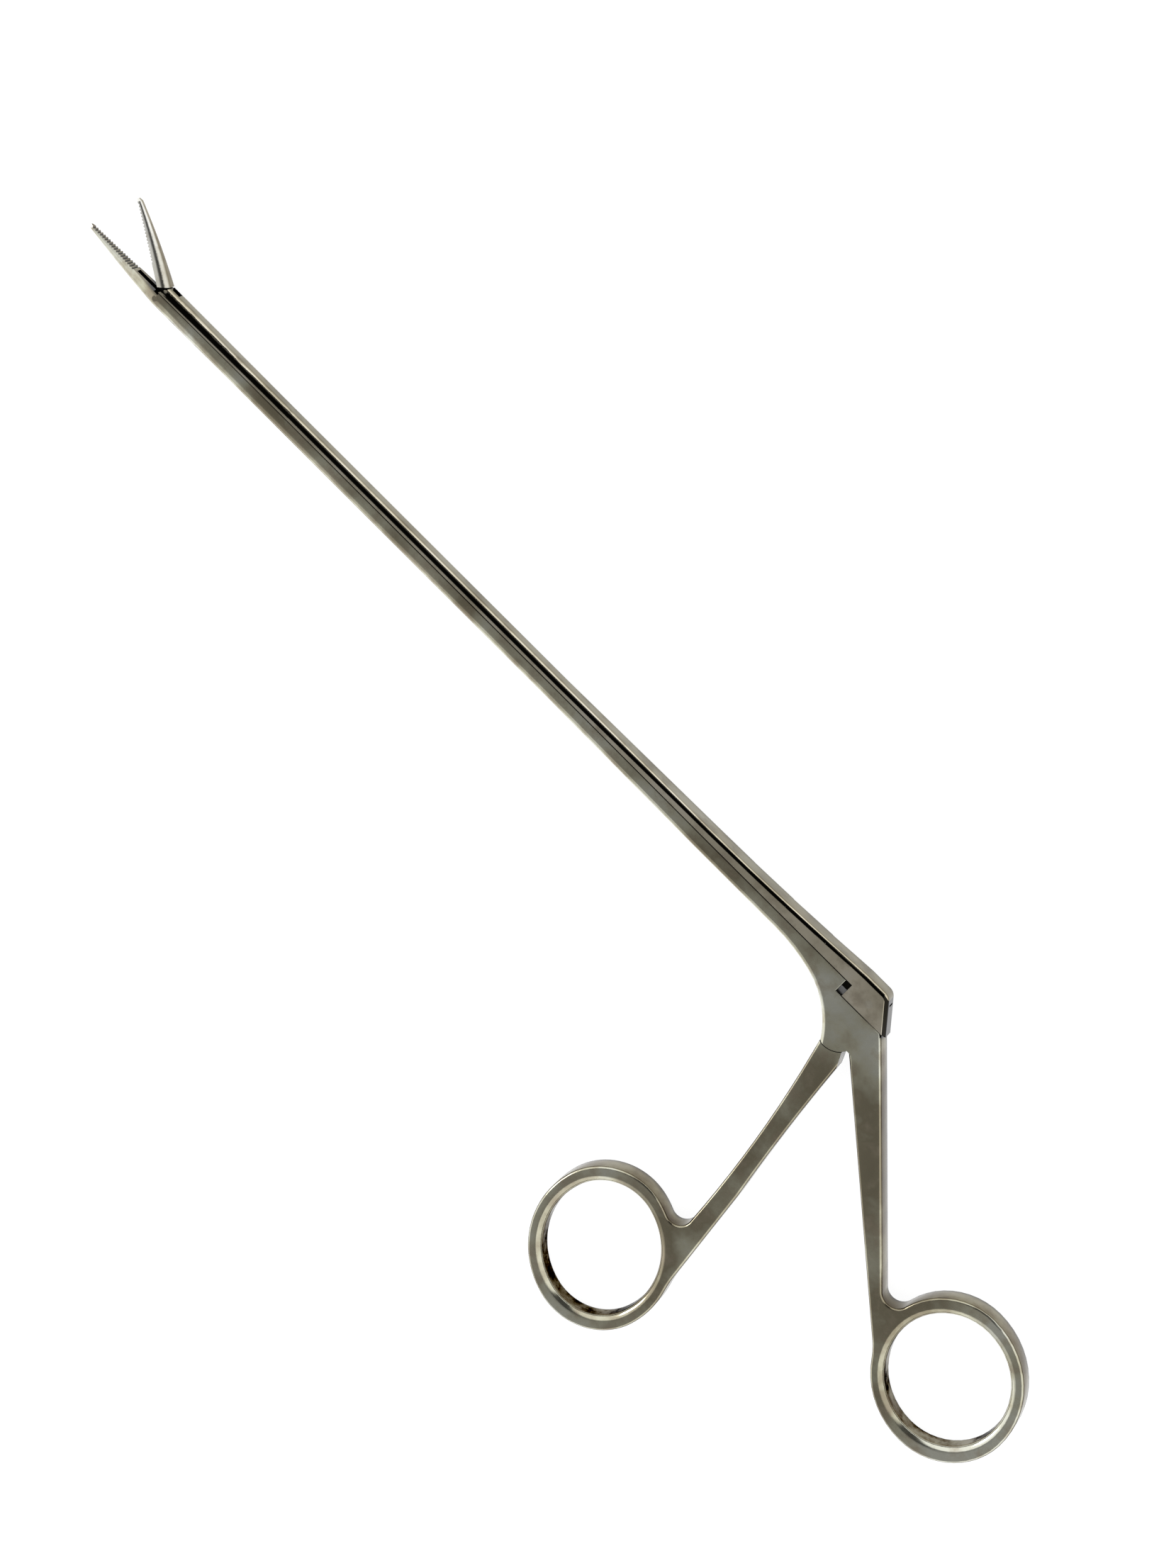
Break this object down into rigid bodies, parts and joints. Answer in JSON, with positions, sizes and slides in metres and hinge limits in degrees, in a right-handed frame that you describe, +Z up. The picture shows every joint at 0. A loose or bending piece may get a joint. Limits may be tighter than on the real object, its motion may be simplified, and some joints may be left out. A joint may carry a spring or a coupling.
{
  "type": "alligator forceps",
  "caption": "Long slender forceps with a sliding shaft, a hinged serrated jaw at the tip and two finger-ring handles set at an angle.",
  "frame": {"origin": "on the lever's pivot axis, in the plane of the side face that the forceps rests on", "axes": "+X back along the shaft from the jaws to the handles, +Y to the side of the hood, away from the finger rings, +Z up, square to the flat of the handles"},
  "size_m": [0.2766, 0.0986, 0.005],
  "materials": {
    "frame_steel": "satin polished",
    "slide_steel": "polished",
    "jaw_steel": "polished",
    "handle_steel": "satin polished",
    "pin_steel": "ground flush"
  },
  "bodies": {
    "frame": {"lower_frame": "frame_steel", "jaw_pivot_pin": "pin_steel", "handle_pivot_pin": "pin_steel"},
    "slide": {"upper_slide": "slide_steel", "jaw_link_pin": "pin_steel", "slide_drive_pin": "pin_steel"},
    "jaw": {"moving_jaw": "jaw_steel"},
    "lever": {"front_handle": "handle_steel"}
  },
  "joints": [
    {"name": "handle_squeeze", "type": "hinge", "parent": "frame", "child": "lever", "pos_m": [0, 0, 0.0025], "axis": [0, 0, 1], "range_deg": [0, 10.21]},
    {"name": "slide_travel", "type": "slide", "parent": "frame", "child": "slide", "axis": [-1, 0, 0], "range_m": [0, 0.00134]},
    {"name": "jaw_close", "type": "hinge", "parent": "frame", "child": "jaw", "pos_m": [-0.1831, 0.00645, 0.0025], "axis": [0, 0, 1], "range_deg": [0, 33.02]}
  ],
  "couplings": [
    {"joint": "slide_travel", "follows": "handle_squeeze", "m_per_rad": 0.0074901},
    {"joint": "jaw_close", "follows": "handle_squeeze", "ratio": 3.2317}
  ]
}
